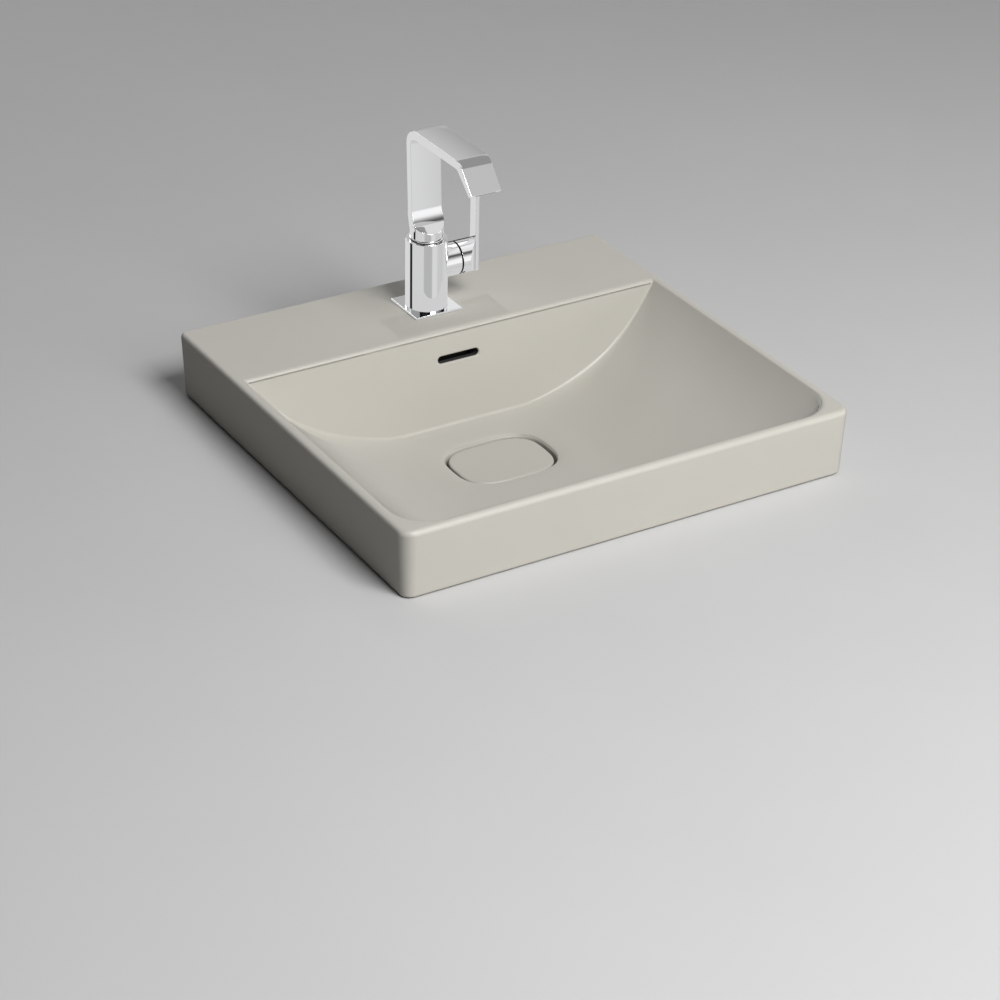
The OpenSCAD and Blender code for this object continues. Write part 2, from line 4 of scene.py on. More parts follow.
import bmesh
import bpy
from mathutils import Matrix, Vector

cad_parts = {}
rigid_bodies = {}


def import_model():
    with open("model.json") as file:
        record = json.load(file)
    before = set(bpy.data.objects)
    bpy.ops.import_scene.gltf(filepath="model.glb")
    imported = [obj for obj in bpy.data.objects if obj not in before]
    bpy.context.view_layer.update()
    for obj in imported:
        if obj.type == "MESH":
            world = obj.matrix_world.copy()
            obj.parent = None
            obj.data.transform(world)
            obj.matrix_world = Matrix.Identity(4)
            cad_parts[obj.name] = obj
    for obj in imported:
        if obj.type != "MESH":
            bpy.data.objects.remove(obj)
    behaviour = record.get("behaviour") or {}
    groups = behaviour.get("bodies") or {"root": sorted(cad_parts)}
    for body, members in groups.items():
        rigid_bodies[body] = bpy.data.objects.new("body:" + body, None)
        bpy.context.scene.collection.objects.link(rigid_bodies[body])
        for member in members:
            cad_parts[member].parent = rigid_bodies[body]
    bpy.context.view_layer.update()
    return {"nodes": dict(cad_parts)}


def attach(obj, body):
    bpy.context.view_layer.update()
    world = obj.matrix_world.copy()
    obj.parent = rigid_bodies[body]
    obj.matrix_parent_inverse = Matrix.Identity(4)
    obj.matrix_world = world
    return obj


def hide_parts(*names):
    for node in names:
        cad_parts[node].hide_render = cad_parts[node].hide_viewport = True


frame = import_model()
nodes = frame["nodes"]
MM = 0.001

# ---------------------------------------------------------------- dimensions, in mm
W, D, H = 250.0, 234.0, 72.2
SEAL_T, ZR, RA, RB2 = 1.0, -35.5, 56.5, 42.25
DECK_D, DECK_T, DECK_R = 126.0, 14.2, 5.0
LEDGE, SIDE_R, LIP_R, EDGE_R = 8.0, 2.5, 6.0, 5.5
OPEN_R, FRONT_R, BACK_R, DRAFT = 41.0, 14.0, 6.5, 2.7
WASTE_Y, TAP_Y = 11.0, 166.5
S_SIDE, S_BACK, S_FRONT = 0.19, 0.235, 0.05
X_FLOOR, FOOT_X, RAMP_P = 80.0, 89.5, 2.85
WALL_LEAN, FRONT_LEAN = 0.164, 0.2366
SHELL_OUT, SHELL_DOWN = 8.0, 10.0
HOLLOW_Z = H - DECK_T
NC, NS = 20, 10


def mix(a, b, t):
    return a + (b - a) * t


def clamp01(t):
    return max(0.0, min(1.0, t))


def step3(t):
    u = clamp01(t)
    return u * u * (3 - 2 * u)


def rad(a):
    return math.radians(a)


X_END = W - LEDGE - SIDE_R * math.sin(rad(55))
Z_END = H - SIDE_R * (1 - math.cos(rad(55)))
RAMP_A = Z_END - ZR - S_SIDE * (X_END - RA)


def ramp_z(x):
    z = ZR + S_SIDE * (x - RA)
    if x > X_FLOOR:
        z += RAMP_A * ((x - X_FLOOR) / (X_END - X_FLOOR)) ** RAMP_P
    return z


RAMP_TURN = math.degrees(math.atan(S_SIDE + RAMP_P * RAMP_A / (X_END - X_FLOOR)))
BACK_TURN = 90 - math.degrees(math.atan(WALL_LEAN))
FRONT_TURN = 90 - math.degrees(math.atan(FRONT_LEAN))
Y_DECK = D - DECK_D
YB0 = Y_DECK - DECK_R * math.sin(rad(BACK_TURN))
ZB0 = H - DECK_R * (1 - math.cos(rad(BACK_TURN)))
YF_LIP = -D + EDGE_R + 0.4
YF0 = YF_LIP + LIP_R * math.sin(rad(FRONT_TURN))
ZF0 = H - LIP_R * (1 - math.cos(rad(FRONT_TURN)))


def foot_profile(z, y0, z0, k, yr, s, d, r):
    """A leaning wall, a round foot and the rising floor, as y over z."""
    zc = (d * (yr - y0) + k * z0 - ZR / s) / (k - 1 / s)
    yc = y0 - d * k * (z0 - zc)
    aw, af = math.atan(k), math.atan(s)
    tl = r * math.tan((math.pi / 2 - aw - af) / 2)
    wz, wy = zc + tl * math.cos(aw), yc + d * tl * math.sin(aw)
    fz = zc - tl * math.sin(af)
    cy, cz = wy - d * r * math.cos(aw), wz + r * math.sin(aw)
    if z >= wz:
        return y0 - d * k * (z0 - z)
    if z > fz:
        return cy + d * math.sqrt(max(0.0, r * r - (z - cz) ** 2))
    return yr + d * (z - ZR) / s


def back_y(z):
    return foot_profile(z, YB0, ZB0, WALL_LEAN, WASTE_Y + RB2, S_BACK, 1, 4)


def front_y(z):
    return foot_profile(z, YF0, ZF0, FRONT_LEAN, WASTE_Y - RB2, S_FRONT, -1, 30)


def back_r(z):
    return mix(1.6, 30, clamp01((H - 4 - z) / (H + 24)) ** 3)


def front_r(z):
    return mix(OPEN_R - 1, 2 * OPEN_R, clamp01((H - 6 - z) / (H + 22)))


def loop_rr(xh, yb, yf, rb, rf, zs, zb, zf, late=0.0):
    """A closed loop with rounded corners and its own heights at the sides, back and front."""
    p = []

    def lw(w):
        return max(0.0, (w - late) / (1 - late))

    for j in range(NC + 1):
        a = rad(90 * j / NC)
        p.append((xh - rb + rb * math.cos(a), yb - rb + rb * math.sin(a), mix(zs, zb, lw(j / NC))))
    for m in range(1, NS + 1):
        p.append((mix(xh - rb, rb - xh, m / (NS + 1)), yb, zb))
    for j in range(NC + 1):
        a = rad(90 + 90 * j / NC)
        p.append((rb - xh + rb * math.cos(a), yb - rb + rb * math.sin(a), mix(zs, zb, lw(1 - j / NC))))
    for m in range(1, NS + 1):
        p.append((-xh, mix(yb - rb, yf + rf, m / (NS + 1)), zs))
    for j in range(NC + 1):
        a = rad(180 + 90 * j / NC)
        p.append((rf - xh + rf * math.cos(a), yf + rf + rf * math.sin(a), mix(zs, zf, j / NC)))
    for m in range(1, NS + 1):
        p.append((mix(rf - xh, xh - rf, m / (NS + 1)), yf, zf))
    for j in range(NC + 1):
        a = rad(270 + 90 * j / NC)
        p.append((xh - rf + rf * math.cos(a), yf + rf + rf * math.sin(a), mix(zf, zs, j / NC)))
    for m in range(1, NS + 1):
        p.append((xh, mix(yf + rf, yb - rb, m / (NS + 1)), zs))
    return p


def loop_se(a, b, n, z, cy=WASTE_Y):
    """A superellipse with as many points as loop_rr, in the same order."""
    p = []
    for q in range(4):
        for t in [90 * q + 15 + 60 * j / NC for j in range(NC + 1)] + [90 * q + 75 + 30 * m / (NS + 1) for m in range(1, NS + 1)]:
            c, s = math.cos(rad(t)), math.sin(rad(t))
            p.append((a * math.copysign(abs(c) ** (2 / n), c), cy + b * math.copysign(abs(s) ** (2 / n), s), z))
    return p


def bowl_loop(x, o=0.0, dn=0.0):
    z = ramp_z(x)
    k = clamp01((FOOT_X - x) / (FOOT_X - RA))
    w = step3(k)
    rb = min(back_r(z), x - 1) + o
    rf = min(mix(front_r(z), 40, k), x - 1) + o
    a = loop_rr(x + o, back_y(z) + o, front_y(z) - o, rb, rf, z - dn, z - dn, z - dn)
    if w == 0:
        return a
    b = loop_se(RA + o, RB2 + o, 3, z - dn)
    return [tuple(mix(p[i], q[i], w) for i in range(3)) for p, q in zip(a, b)]


def under_loop(x):
    z = ramp_z(x)
    t = clamp01((x - 184) / 40)
    if z - SHELL_DOWN > SEAL_T:
        yfu = mix(front_y(SEAL_T + SHELL_DOWN) - SHELL_OUT, -D + 13, t)
        rf = min(front_r(z), x - 1) + SHELL_OUT
        return loop_rr(x + SHELL_OUT, back_y(z) + SHELL_OUT, yfu, back_r(z) + SHELL_OUT, rf,
                       z - SHELL_DOWN, z - SHELL_DOWN, SEAL_T)
    return bowl_loop(x, SHELL_OUT, SHELL_DOWN)


def skin_loop(i, z):
    return loop_rr(W - i, D - i, -D + i, max(0.6, BACK_R - i), FRONT_R - i, z, z, z)


def edge_loop(t):
    return loop_rr(W - LEDGE - SIDE_R * math.sin(rad(RAMP_TURN * t)), Y_DECK - DECK_R * math.sin(rad(BACK_TURN * t)),
                   YF_LIP + LIP_R * math.sin(rad(FRONT_TURN * t)), 3, OPEN_R - 1.6 * t,
                   H - SIDE_R * (1 - math.cos(rad(RAMP_TURN * t))), H - DECK_R * (1 - math.cos(rad(BACK_TURN * t))),
                   H - LIP_R * (1 - math.cos(rad(FRONT_TURN * t))))


def between(a, b, t):
    return [tuple(mix(p[i], q[i], t) for i in range(3)) for p, q in zip(a, b)]


# ---------------------------------------------------------------- mesh helpers
def make(name, verts, faces, mats, mat_index=None, smooth=True):
    me = bpy.data.meshes.new(name)
    me.from_pydata([tuple(c * MM for c in v) for v in verts], [], faces)
    for m in mats:
        me.materials.append(m)
    if mat_index:
        me.polygons.foreach_set("material_index", mat_index)
    me.polygons.foreach_set("use_smooth", [smooth] * len(me.polygons))
    me.validate()
    ob = bpy.data.objects.new(name, me)
    bpy.context.scene.collection.objects.link(ob)
    return ob


def outward(ob):
    bm = bmesh.new()
    bm.from_mesh(ob.data)
    bmesh.ops.recalc_face_normals(bm, faces=bm.faces)
    bm.to_mesh(ob.data)
    bm.free()
    return ob


def ring_faces(n, a, b):
    return [(a * n + i, b * n + i, b * n + (i + 1) % n, a * n + (i + 1) % n) for i in range(n)]


def loft(name, loops, mats, closed=False, caps=True, mat_of=None):
    """A skin of quads through loops of equal length. closed joins the last loop to the first."""
    n = len(loops[0])
    verts = [p for l in loops for p in l]
    faces, idx = [], []
    last = len(loops) if closed else len(loops) - 1
    for k in range(last):
        faces += ring_faces(n, k, (k + 1) % len(loops))
        idx += [mat_of(k) if mat_of else 0] * n
    if caps and not closed:
        faces.append(tuple(range(n)))
        faces.append(tuple((len(loops) - 1) * n + i for i in reversed(range(n))))
        idx += [mat_of(0) if mat_of else 0, mat_of(len(loops) - 1) if mat_of else 0]
    return outward(make(name, verts, faces, mats, idx))


def prism(name, outline, axis, a, b, mats, stations=1, inset=None, mat=0):
    """A closed outline carried along an axis from a to b. inset(u) pulls the outline in at u from -1 to 1."""
    loops = []
    normals = outline_normals(outline)
    for k in range(stations + 1):
        u = -1 + 2 * k / stations
        s = mix(a, b, k / stations)
        d = inset(u) if inset else 0.0
        pts = [(p[0] - nrm[0] * d, p[1] - nrm[1] * d) for p, nrm in zip(outline, normals)]
        if axis == "x":
            loops.append([(s, p[0], p[1]) for p in pts])
        elif axis == "z":
            loops.append([(p[0], p[1], s) for p in pts])
        else:
            loops.append([(p[0], s, p[1]) for p in pts])
    return loft(name, loops, mats, mat_of=lambda k: mat)


def outline_normals(pts):
    """Outward normals at the corners of a closed outline."""
    n = len(pts)
    area = sum(pts[i][0] * pts[(i + 1) % n][1] - pts[(i + 1) % n][0] * pts[i][1] for i in range(n))
    sg = 1 if area > 0 else -1
    out = []
    for i in range(n):
        p, q, r = pts[i - 1], pts[i], pts[(i + 1) % n]
        e1, e2 = (q[0] - p[0], q[1] - p[1]), (r[0] - q[0], r[1] - q[1])
        l1, l2 = math.hypot(*e1) or 1, math.hypot(*e2) or 1
        n1, n2 = (sg * e1[1] / l1, -sg * e1[0] / l1), (sg * e2[1] / l2, -sg * e2[0] / l2)
        s = (n1[0] + n2[0], n1[1] + n2[1])
        l = math.hypot(*s) or 1
        c = max(0.5, (s[0] * n1[0] + s[1] * n1[1]) / l)
        out.append((s[0] / l / c, s[1] / l / c))
    return out


def cylinder(name, r, z0, z1, centre=(0, 0), seg=128, axis="z", chamfer=0.0, mats=(), mat=0):
    """A turned pin along an axis with small rounded ends."""
    prof = [(r - chamfer, z0), (r - chamfer * 0.3, z0 + chamfer * 0.3), (r, z0 + chamfer)] if chamfer else [(r, z0)]
    prof += [(r, z1 - chamfer), (r - chamfer * 0.3, z1 - chamfer * 0.3), (r - chamfer, z1)] if chamfer else [(r, z1)]
    return turned(name, prof, centre, seg, axis, mats, mat)


def turned(name, prof, centre=(0, 0), seg=128, axis="z", mats=(), mat=0):
    loops = []
    for r, z in prof:
        l = []
        for i in range(seg):
            a = 2 * math.pi * i / seg
            u, v = centre[0] + r * math.cos(a), centre[1] + r * math.sin(a)
            l.append((u, v, z) if axis == "z" else ((z, u, v) if axis == "x" else (u, z, v)))
        loops.append(l)
    return loft(name, loops, mats, mat_of=lambda k: mat)


def boxed(name, lo, hi, mats=(), mat=0):
    out = [(lo[0], lo[1]), (hi[0], lo[1]), (hi[0], hi[1]), (lo[0], hi[1])]
    return prism(name, out, "z", lo[2], hi[2], list(mats), mat=mat)


def combine(target, tools, solver="EXACT"):
    """Applies boolean tools [(operation, object)] in order and removes the tools."""
    for k, (op, tool) in enumerate(tools):
        m = target.modifiers.new(f"b{k}", "BOOLEAN")
        m.operation, m.object, m.solver = op, tool, solver
        if solver == "EXACT":
            m.material_mode = "INDEX"
    settle(target)
    for _, tool in tools:
        me = tool.data
        bpy.data.objects.remove(tool)
        bpy.data.meshes.remove(me)
    return target


def settle(ob):
    """Puts the result of an object's modifiers into its mesh."""
    dg = bpy.context.evaluated_depsgraph_get()
    dg.update()
    new = bpy.data.meshes.new_from_object(ob.evaluated_get(dg))
    ob.modifiers.clear()
    old = ob.data
    name = old.name
    ob.data = new
    bpy.data.meshes.remove(old)
    new.name = name
    return ob


def tidy(ob, dist=0.002):
    bm = bmesh.new()
    bm.from_mesh(ob.data)
    bmesh.ops.remove_doubles(bm, verts=bm.verts, dist=dist * MM)
    bmesh.ops.dissolve_degenerate(bm, edges=bm.edges, dist=dist * MM)
    bm.to_mesh(ob.data)
    bm.free()
    return ob


def bevel(ob, width, segments=3, angle=35, profile=0.5):
    m = ob.modifiers.new("bevel", "BEVEL")
    m.width, m.segments, m.limit_method, m.angle_limit = width * MM, segments, "ANGLE", rad(angle)
    m.profile, m.use_clamp_overlap, m.miter_outer = profile, False, "MITER_ARC"
    settle(ob)
    return ob


def shade(ob, angle=40, weight=50):
    me = ob.data
    me.polygons.foreach_set("use_smooth", [True] * len(me.polygons))
    me.set_sharp_from_angle(angle=rad(angle))
    m = ob.modifiers.new("weighted", "WEIGHTED_NORMAL")
    m.keep_sharp, m.weight = True, weight
    return ob


# ---------------------------------------------------------------- materials
def new_mat(name):
    m = bpy.data.materials.new(name)
    m.use_nodes = True
    nt = m.node_tree
    nt.nodes.clear()
    out = nt.nodes.new("ShaderNodeOutputMaterial")
    b = nt.nodes.new("ShaderNodeBsdfPrincipled")
    nt.links.new(b.outputs["BSDF"], out.inputs["Surface"])
    co = nt.nodes.new("ShaderNodeTexCoord")
    return m, nt, b, co


def noise(nt, co, scale, detail=3.0, rough=0.5, stretch=None):
    n = nt.nodes.new("ShaderNodeTexNoise")
    n.inputs["Scale"].default_value = scale
    n.inputs["Detail"].default_value = detail
    n.inputs["Roughness"].default_value = rough
    if stretch:
        mp = nt.nodes.new("ShaderNodeMapping")
        mp.inputs["Scale"].default_value = stretch
        nt.links.new(co.outputs["Object"], mp.inputs["Vector"])
        nt.links.new(mp.outputs["Vector"], n.inputs["Vector"])
    else:
        nt.links.new(co.outputs["Object"], n.inputs["Vector"])
    return n.outputs["Fac"]


def ranged(nt, value, lo, hi, a=0.3, b=0.7):
    r = nt.nodes.new("ShaderNodeMapRange")
    r.inputs["From Min"].default_value, r.inputs["From Max"].default_value = a, b
    r.inputs["To Min"].default_value, r.inputs["To Max"].default_value = lo, hi
    nt.links.new(value, r.inputs["Value"])
    return r.outputs["Result"]


def two_tone(nt, fac, c1, c2):
    m = nt.nodes.new("ShaderNodeMix")
    m.data_type = "RGBA"
    m.inputs[6].default_value = (*c1, 1)
    m.inputs[7].default_value = (*c2, 1)
    nt.links.new(fac, m.inputs[0])
    return m.outputs[2]


def add_bump(nt, bsdf, height, strength, distance, onto=None):
    b = nt.nodes.new("ShaderNodeBump")
    b.inputs["Strength"].default_value = strength
    b.inputs["Distance"].default_value = distance
    nt.links.new(height, b.inputs["Height"])
    if onto is not None:
        nt.links.new(onto, b.inputs["Normal"])
    nt.links.new(b.outputs["Normal"], bsdf.inputs["Normal"])
    return b.outputs["Normal"]


def glaze(name, c, rough=(0.34, 0.44)):
    """Matt satin glaze: faint clouding of the colour, uneven sheen and a fine orange-peel skin."""
    m, nt, b, co = new_mat(name)
    cloud = ranged(nt, noise(nt, co, 9.0, 4.0, 0.55), 0, 1)
    nt.links.new(two_tone(nt, cloud, tuple(v * 0.985 for v in c), tuple(v * 1.015 for v in c)), b.inputs["Base Color"])
    nt.links.new(ranged(nt, noise(nt, co, 26.0, 5.0, 0.6), *rough), b.inputs["Roughness"])
    peel = add_bump(nt, b, noise(nt, co, 260.0, 3.0, 0.5), 0.10, 0.0004)
    add_bump(nt, b, noise(nt, co, 30.0, 2.0, 0.5), 0.05, 0.0015, peel)
    b.inputs["IOR"].default_value = 1.5
    b.inputs["Specular IOR Level"].default_value = 0.5
    return m


def biscuit(name, c):
    """Unglazed or thinly glazed clay: paler, dull, with fine grain and pores."""
    m, nt, b, co = new_mat(name)
    cloud = ranged(nt, noise(nt, co, 18.0, 5.0, 0.6), 0, 1)
    nt.links.new(two_tone(nt, cloud, tuple(v * 0.93 for v in c), tuple(min(1, v * 1.04) for v in c)), b.inputs["Base Color"])
    nt.links.new(ranged(nt, noise(nt, co, 60.0, 4.0, 0.6), 0.72, 0.92), b.inputs["Roughness"])
    g = add_bump(nt, b, noise(nt, co, 900.0, 4.0, 0.6), 0.25, 0.0003)
    add_bump(nt, b, noise(nt, co, 40.0, 3.0, 0.5), 0.25, 0.0012, g)
    return m


def metal(name, c, rough, scale=(1, 1, 1), grain=300.0, bump=0.03, tint=0.02, aniso=0.0, smear=14.0):
    m, nt, b, co = new_mat(name)
    f = ranged(nt, noise(nt, co, smear, 4.0, 0.6), 0, 1)
    nt.links.new(two_tone(nt, f, tuple(v * (1 - tint) for v in c), tuple(min(1, v * (1 + tint)) for v in c)), b.inputs["Base Color"])
    nt.links.new(ranged(nt, noise(nt, co, grain, 4.0, 0.6, scale), *rough), b.inputs["Roughness"])
    b.inputs["Metallic"].default_value = 1.0
    b.inputs["Anisotropic"].default_value = aniso
    add_bump(nt, b, noise(nt, co, grain, 3.0, 0.5, scale), bump, 0.0002)
    return m


def moulded(name, c, rough=(0.42, 0.56), grain=700.0, bump=0.12, sub=0.0):
    m, nt, b, co = new_mat(name)
    f = ranged(nt, noise(nt, co, 30.0, 4.0, 0.6), 0, 1)
    nt.links.new(two_tone(nt, f, tuple(v * 0.94 for v in c), tuple(min(1, v * 1.05) for v in c)), b.inputs["Base Color"])
    nt.links.new(ranged(nt, noise(nt, co, 90.0, 4.0, 0.6), *rough), b.inputs["Roughness"])
    add_bump(nt, b, noise(nt, co, grain, 4.0, 0.6), bump, 0.0002)
    return m


CLAY = (0.515, 0.497, 0.447)
M_GLAZE = glaze("satin_glaze", CLAY)
M_RAW = biscuit("unglazed_clay", (0.62, 0.585, 0.52))
# near-black clay for the inside of the overflow duct and the deep walls of the slot: painted shade, not the clay's own
# colour
M_PAINTED_DUCT_SHADE = biscuit("painted_shade_duct_clay", (0.012, 0.0115, 0.01))
M_CHROME = metal("polished_chrome", (0.9, 0.905, 0.91), (0.025, 0.055), grain=120.0, bump=0.004, tint=0.006)
M_CHROME_DULL = metal("plated_chrome", (0.78, 0.785, 0.79), (0.12, 0.24), grain=160.0, bump=0.02, tint=0.03)
M_STEEL = metal("brushed_steel", (0.56, 0.565, 0.575), (0.22, 0.38), (1, 1, 14), 320.0, 0.05, 0.04)
M_BRASS = metal("machined_brass", (0.74, 0.58, 0.3), (0.2, 0.36), (1, 1, 10), 260.0, 0.05, 0.05)
# near-black dull metal for faces deep in the tap's joints, the screw hole and the handle screw: painted shade
M_PAINTED_GAP_SHADE = metal("painted_joint_shade", (0.012, 0.012, 0.013), (0.45, 0.6), bump=0.03)
M_RUBBER = moulded("seal_rubber", (0.022, 0.022, 0.023), (0.62, 0.8), 900.0, 0.2)
M_WHITE = moulded("white_acetal", (0.74, 0.74, 0.72), (0.4, 0.55))
M_GREY = moulded("grey_acetal", (0.16, 0.17, 0.18), (0.38, 0.52))


# ---------------------------------------------------------------- basin
def build_basin():
    loops = [loop_se(38 - 0.9, 38 - 0.9, 2, -76), loop_se(38 - 0.2, 38 - 0.2, 2, -75.7), loop_se(38.1, 38.1, 2, -75.0)]
    loops += [loop_se(38.8, 38.8, 2, -72), loop_se(39.5, 39.5, 2, -68), loop_se(41, 40, 2.03, -66.2), loop_se(47, 43, 2.2, -64),
              loop_se(53, 44.3, 2.45, -63), loop_se(57, 45, 2.6, -62), loop_se(60.4, 46.9, 2.7, -60.4), loop_se(62.5, 48.5, 2.8, -58),
              loop_se(63.6, 49.6, 2.85, -54), loop_se(64.5, 50.5, 2.9, -50), loop_se(65.4, 51.4, 2.9, -47.6), loop_se(67, 53, 2.9, ZR - 10.6)]
    xs = [72, 80, 88, 97, 108, 124, 146, 172, 200, 221]
    for a, b in zip(xs, xs[1:]):
        loops += [under_loop(mix(a, b, t)) for t in (0, 1 / 3, 2 / 3)]
    loops.append(under_loop(221))
    top_in = loop_rr(W - 18, YB0 + 7.5, -D + 12.6, 12, 52, ramp_z(221) - SHELL_DOWN + 4, HOLLOW_Z, SEAL_T, 0.5)
    top_out = loop_rr(W - 13.5, D - 14, -D + 12.3, 8, 40, ramp_z(221) - SHELL_DOWN + 3, HOLLOW_Z, SEAL_T, 0.5)
    seat_in = loop_rr(W - 12, D - 12, -D + 12, 8, 34, SEAL_T, SEAL_T, SEAL_T)
    loops += [top_in, between(top_in, top_out, 0.5), top_out, between(top_out, seat_in, 0.04), between(top_out, seat_in, 0.5), seat_in]
    skin_from = len(loops) - 1
    loops += [skin_loop(DRAFT + 2.5, SEAL_T), skin_loop(DRAFT + 1.75, SEAL_T + 0.12), skin_loop(DRAFT + 1.2, SEAL_T + 0.4),
              skin_loop(DRAFT + 0.7, SEAL_T + 0.8), skin_loop(DRAFT + 0.35, SEAL_T + 1.3), skin_loop(DRAFT + 0.1, SEAL_T + 2.0),
              skin_loop(DRAFT, SEAL_T + 2.8)]
    glazed_from = len(loops) - 5
    for t in (0.04, 0.25, 0.5, 0.75, 0.96):
        loops.append(between(skin_loop(DRAFT, SEAL_T + 2.8), skin_loop(0, H - EDGE_R), t))
    for k in range(15):
        a = rad(90 * k / 14)
        loops.append(skin_loop(EDGE_R * (1 - math.cos(a)), H - EDGE_R + EDGE_R * math.sin(a)))
    ring = (skin_loop(EDGE_R, H), edge_loop(0))
    loops += [between(*ring, 0.05), between(*ring, 0.5), between(*ring, 0.95)]
    loops += [edge_loop(k / 10) for k in range(11)]
    xs = [X_END - 1.2, 237.4, 236, 234.4, 232.6, 230.6, 228.4, 226, 223.4]
    x = 220.6
    while x > 92:
        xs.append(x)
        x -= 2.7
    xs += [91, 89.5, 88, 86, 84, 81, 78, 75, 72, 69, 66, 63.5, 61, 59]
    loops += [bowl_loop(x) for x in xs]
    rec = [(0.7, ZR + 0.05), (0.25, ZR - 0.08), (-0.2, ZR - 0.35), (-0.6, ZR - 0.85), (-0.9, ZR - 1.5), (-1.1, ZR - 3), (-1.8, -45), (-2.2, -48.5),
           (-2.5, -49.8), (-3.2, -51), (-4.4, -51.8), (-6, -52)]
    loops += [loop_se(RA + o, RB2 + o, 3 if o > -6 else 2.9, z) for o, z in rec]
    loops += [between(loop_se(RA - 6, RB2 - 6, 2.9, -52), loop_se(34.8, 34.8, 2, -52), t) for t in (0.1, 0.9)]
    loops += [loop_se(34.8, 34.8, 2, -52), loop_se(34.2, 34.2, 2, -52.2), loop_se(34, 34, 2, -52.8), loop_se(34, 34, 2, -55.9),
              loop_se(33.6, 33.6, 2, -56), loop_se(23.8, 23.8, 2, -56), loop_se(23.2, 23.2, 2, -56.3), loop_se(23, 23, 2, -57),
              loop_se(23, 23, 2, -66), loop_se(23, 23, 2, -75.2), loop_se(23.6, 23.6, 2, -76)]
    n_all = len(loops)
    ob = loft("basin_ceramic", loops, [M_GLAZE, M_RAW, M_PAINTED_DUCT_SHADE], closed=True,
              mat_of=lambda k: 1 if k < glazed_from or k >= n_all - 3 else 0)

    mats = [M_GLAZE, M_RAW, M_PAINTED_DUCT_SHADE]
    # overflow housing behind the back wall, with its foot
    hz = HOLLOW_Z + 2
    out = [(back_y(HOLLOW_Z) + 4, hz), (125, hz), (125, -73.5), (124.3, -75.3), (122.5, -76), (86, -76), (86, -38), (back_y(-18) + 4, -18), (back_y(0) + 4, 0)]
    loops = []
    for x, s in ((-31, 1.6), (-30.5, 0.5), (-29.4, 0), (29.4, 0), (30.5, 0.5), (31, 1.6)):
        nr = outline_normals(out)
        loops.append([(x, p[0] - q[0] * s, p[1] - q[1] * s) for p, q in zip(out, nr)])
    housing = loft("housing", loops, mats, mat_of=lambda k: 1)
    foot = prism("foot", [(-21, 40), (21, 40), (21, 110), (-21, 110)], "z", -76, -56, mats, mat=1)
    # overflow slot: a stadium that flares into a rounded lip at the wall
    sz, sl, sh, lip = 42.6, 48.0, 8.0, 1.5
    lean = math.atan(WALL_LEAN)
    up = (math.sin(lean), math.cos(lean))
    into = (math.cos(lean), -math.sin(lean))
    y0 = back_y(sz)

    def stadium(flare, depth):
        pts = []
        r = sh / 2 + flare
        for side in (1, -1):
            for j in range(17):
                a = rad(-90 + 180 * j / 16) if side == 1 else rad(90 + 180 * j / 16)
                u, v = side * (sl - sh) / 2 + r * math.cos(a), r * math.sin(a)
                pts.append((u, y0 + v * up[0] + depth * into[0], sz + v * up[1] + depth * into[1]))
        return pts

    cut = [stadium(lip + 0.6, -2.0), stadium(lip + 0.25, -0.35)]
    for j in range(9):
        a = rad(90 * j / 8)
        cut.append(stadium(lip * (1 - math.sin(a)), lip * (1 - math.cos(a))))
    cut += [stadium(0, 2.2), stadium(0, 4), stadium(0, 14)]
    # the slot's walls behind its lip and the duct box take the near-black duct clay: painted shade inside the overflow
    slot = loft("slot", cut, mats, mat_of=lambda k: 2 if k >= 11 else 0)
    duct = boxed("duct", (-25, 108, -70), (25, 119, 48), mats, 2)
    channel = boxed("channel", (-14, WASTE_Y + 10, -70), (14, WASTE_Y + 105, -61), mats, 1)
    hole = cylinder("tap_hole", 17.5, HOLLOW_Z - 5, H + 5, (0, TAP_Y), 96, mats=mats, mat=1)
    combine(ob, [("UNION", housing), ("UNION", foot), ("DIFFERENCE", slot), ("DIFFERENCE", duct), ("DIFFERENCE", channel), ("DIFFERENCE", hole)])
    tidy(ob, 0.003)
    shade(ob, 38)
    return ob


# ---------------------------------------------------------------- waste cover
def build_cover():
    ca, cb = 51.9, 38.8
    loops = [loop_se(ca - 9, cb - 9, 3.2, -42.5), loop_se(ca - 3.4, cb - 3.4, 3.2, -42.5), loop_se(ca - 2.2, cb - 2.2, 3.2, -42.36),
             loop_se(ca - 1.2, cb - 1.2, 3.2, -41.8), loop_se(ca - 0.5, cb - 0.5, 3.2, -41), loop_se(ca - 0.12, cb - 0.12, 3.2, -40), loop_se(ca, cb, 3.2, -38.9)]
    for k in range(1, 12):
        a = rad(7.4 * k)
        loops.append(loop_se(ca - 2.6 * (1 - math.cos(a)), cb - 2.6 * (1 - math.cos(a)), 3.2, -38.9 + 2.6 * math.sin(a)))
    for f in (0.93, 0.9, 0.86, 0.8, 0.72, 0.62, 0.5, 0.38, 0.26, 0.15, 0.06):
        loops.append(loop_se(ca * f, cb * f, 3.2 - 1.0 * (1 - f), -36.02 - 0.32 * f * f))
    ob = loft("waste_cover_ceramic", loops, [M_GLAZE, M_RAW], mat_of=lambda k: 1 if k < 2 else 0)
    shade(ob, 50)
    return ob


# ---------------------------------------------------------------- tap
FOOT_Z, SPOUT_TOP, ARM_T, BR, BODY_TOP, AXIS_Z, BAR_R, BAR_END = 150.0, 270.5, 9.5, 22.0, 149.0, 118.2, 17.5, 33.0
SEAM, BAR_X = 1.6, 54.8
PLATE_Z0, PLATE_Z1 = H + 0.4, H + 2.4
TM = [M_CHROME]


def tap_cyl(name, r, z0, z1, dx=0.0, dy=0.0, seg=128):
    return cylinder(name, r, z0, z1, (dx, TAP_Y + dy), seg, mats=TM)


def bar_cyl(name, r, x0, x1, seg=128):
    return cylinder(name, r, x0, x1, (TAP_Y, AXIS_Z), seg, "x", mats=TM)


